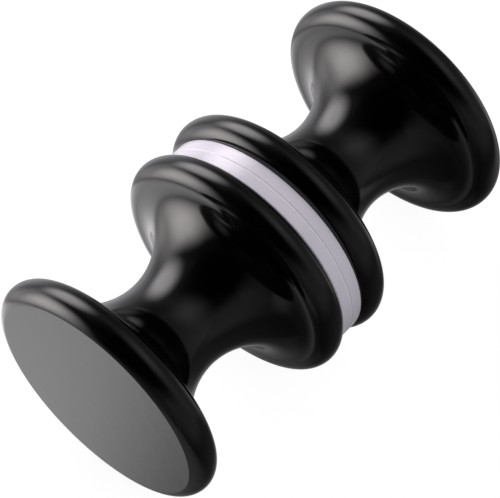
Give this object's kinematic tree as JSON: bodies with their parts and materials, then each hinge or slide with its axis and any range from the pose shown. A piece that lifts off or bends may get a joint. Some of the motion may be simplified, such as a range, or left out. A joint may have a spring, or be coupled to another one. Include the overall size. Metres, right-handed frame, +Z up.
{
  "type": "shower door handle",
  "caption": "Back-to-back knob for a glass shower door: spool-shaped black knobs joined by a hidden stud, with plastic washers that keep the metal off the glass.",
  "frame": {"origin": "on the axis of the stud, at the seam between the washers, which is the middle of the door's glass", "axes": "+Y along the stud's axis from the front knob to the rear knob, +Z up as the handle hangs on a closed door, +X along the door"},
  "size_m": [0.03, 0.0532, 0.03],
  "materials": {
    "black_coat": "smooth semi-gloss black coat on turned metal",
    "washer_plastic": "milky white plastic with fine turned lines on its rim",
    "stud_steel": "bright zinc-plated thread"
  },
  "bodies": {
    "root": {"front_knob": "black_coat", "rear_knob": "black_coat", "front_washer": "washer_plastic", "rear_washer": "washer_plastic", "threaded_stud": "stud_steel"}
  },
  "joints": []
}
